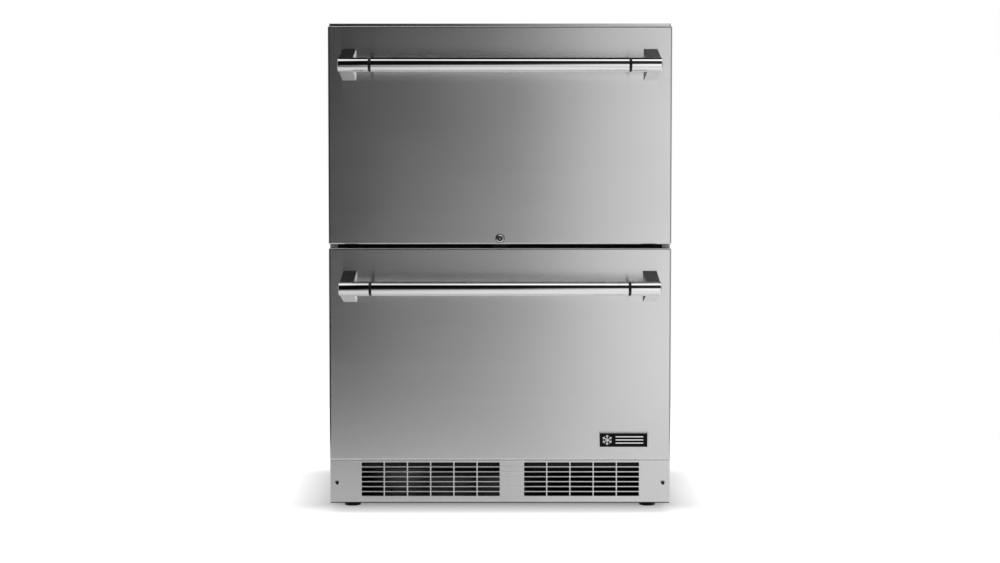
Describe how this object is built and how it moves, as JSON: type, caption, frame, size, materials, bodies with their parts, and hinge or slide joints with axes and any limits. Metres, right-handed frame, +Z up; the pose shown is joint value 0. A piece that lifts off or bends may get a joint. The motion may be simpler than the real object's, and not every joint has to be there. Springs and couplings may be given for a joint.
{
  "type": "under counter refrigerator",
  "caption": "Under counter refrigerator with stainless drawer fronts on full-extension slides, bar handles, a cam lock, a slotted kick grille and adjustable feet.",
  "frame": {"origin": "on the floor, at the centre of the bounding box of cabinet, drawers and handles", "axes": "+Z up, the drawers open towards -Y, +X to the right seen from the front"},
  "size_m": [0.6064, 0.6736, 0.872],
  "materials": {
    "stainless": "satin",
    "polished": "polished",
    "galvanised": "matte",
    "aluminium": "satin",
    "foam": "matte",
    "black_steel": "satin",
    "black_plastic": "matte",
    "gasket_rubber": "matte",
    "copper": "satin"
  },
  "bodies": {
    "cabinet": {"side_panel_left": "stainless", "side_panel_right": "stainless", "top_panel": "stainless", "rear_panel": "galvanised", "face_frame": "black_plastic", "inner_liner": "aluminium", "foam_insulation": "foam", "machine_roof_panel": "galvanised", "centre_rail": "black_plastic", "base_pan": "galvanised", "kick_grille": "stainless", "rear_vent_cover": "galvanised", "power_inlet": "black_plastic", "lock_strike": "galvanised", "compressor": "black_steel", "condenser_coil": "aluminium", "condenser_fan_shroud": "black_steel", "condenser_fan_motor": "black_steel", "discharge_line": "copper", "drain_pan": "black_plastic", "evaporator_coil": "aluminium", "evaporator_cover": "aluminium", "evaporator_fan_motor": "black_steel", "upper_slide_outer_left": "galvanised", "upper_slide_outer_right": "galvanised", "lower_slide_outer_left": "galvanised", "lower_slide_outer_right": "galvanised"},
    "upper_drawer": {"upper_front_skin": "stainless", "upper_front_foam": "foam", "upper_front_inner_panel": "aluminium", "upper_gasket": "gasket_rubber", "upper_handle_tube": "polished", "upper_handle_post_left": "polished", "upper_handle_post_right": "polished", "upper_storage_box": "stainless", "upper_slide_inner_left": "galvanised", "upper_slide_inner_right": "galvanised", "lock_body": "polished"},
    "lower_drawer": {"lower_front_skin": "stainless", "lower_front_foam": "foam", "lower_front_inner_panel": "aluminium", "lower_gasket": "gasket_rubber", "lower_handle_tube": "polished", "lower_handle_post_left": "polished", "lower_handle_post_right": "polished", "lower_storage_box": "stainless", "lower_slide_inner_left": "galvanised", "lower_slide_inner_right": "galvanised", "badge_plate": "polished"},
    "upper_slide_middle_left": {"upper_slide_middle_left": "galvanised"},
    "upper_slide_middle_right": {"upper_slide_middle_right": "galvanised"},
    "lower_slide_middle_left": {"lower_slide_middle_left": "galvanised"},
    "lower_slide_middle_right": {"lower_slide_middle_right": "galvanised"},
    "lock_cylinder": {"lock_cam": "polished"},
    "condenser_fan_wheel": {"condenser_fan": "black_plastic"},
    "evaporator_fan_wheel": {"evaporator_fan": "black_plastic"},
    "foot_front_left": {"foot_front_left": "galvanised"},
    "foot_front_right": {"foot_front_right": "galvanised"},
    "foot_rear_left": {"foot_rear_left": "galvanised"},
    "foot_rear_right": {"foot_rear_right": "galvanised"}
  },
  "joints": [
    {"name": "drawer_upper", "type": "slide", "parent": "cabinet", "child": "upper_drawer", "axis": [0, -1, 0], "range_m": [0, 0.4]},
    {"name": "drawer_lower", "type": "slide", "parent": "cabinet", "child": "lower_drawer", "axis": [0, -1, 0], "range_m": [0, 0.4]},
    {"name": "slide_upper_left", "type": "slide", "parent": "cabinet", "child": "upper_slide_middle_left", "axis": [0, -1, 0], "range_m": [0, 0.2]},
    {"name": "slide_upper_right", "type": "slide", "parent": "cabinet", "child": "upper_slide_middle_right", "axis": [0, -1, 0], "range_m": [0, 0.2]},
    {"name": "slide_lower_left", "type": "slide", "parent": "cabinet", "child": "lower_slide_middle_left", "axis": [0, -1, 0], "range_m": [0, 0.2]},
    {"name": "slide_lower_right", "type": "slide", "parent": "cabinet", "child": "lower_slide_middle_right", "axis": [0, -1, 0], "range_m": [0, 0.2]},
    {"name": "cam_lock", "type": "hinge", "parent": "upper_drawer", "child": "lock_cylinder", "pos_m": [0, -0.26, 0.4926], "axis": [0, 1, 0], "range_deg": [0, 90]},
    {"name": "fan_condenser", "type": "hinge", "parent": "cabinet", "child": "condenser_fan_wheel", "pos_m": [-0.232, 0.225, 0.15], "axis": [1, 0, 0], "continuous": true},
    {"name": "fan_evaporator", "type": "hinge", "parent": "cabinet", "child": "evaporator_fan_wheel", "pos_m": [0, 0.233, 0.7], "axis": [0, 1, 0], "continuous": true},
    {"name": "foot_front_left_screw", "type": "slide", "parent": "cabinet", "child": "foot_front_left", "axis": [0, 0, -1], "range_m": [-0.008, 0.017]},
    {"name": "foot_front_right_screw", "type": "slide", "parent": "cabinet", "child": "foot_front_right", "axis": [0, 0, -1], "range_m": [-0.008, 0.017]},
    {"name": "foot_rear_left_screw", "type": "slide", "parent": "cabinet", "child": "foot_rear_left", "axis": [0, 0, -1], "range_m": [-0.008, 0.017]},
    {"name": "foot_rear_right_screw", "type": "slide", "parent": "cabinet", "child": "foot_rear_right", "axis": [0, 0, -1], "range_m": [-0.008, 0.017]}
  ],
  "couplings": [
    {"joint": "slide_upper_left", "follows": "drawer_upper", "ratio": 0.5},
    {"joint": "slide_upper_right", "follows": "drawer_upper", "ratio": 0.5},
    {"joint": "slide_lower_left", "follows": "drawer_lower", "ratio": 0.5},
    {"joint": "slide_lower_right", "follows": "drawer_lower", "ratio": 0.5}
  ]
}
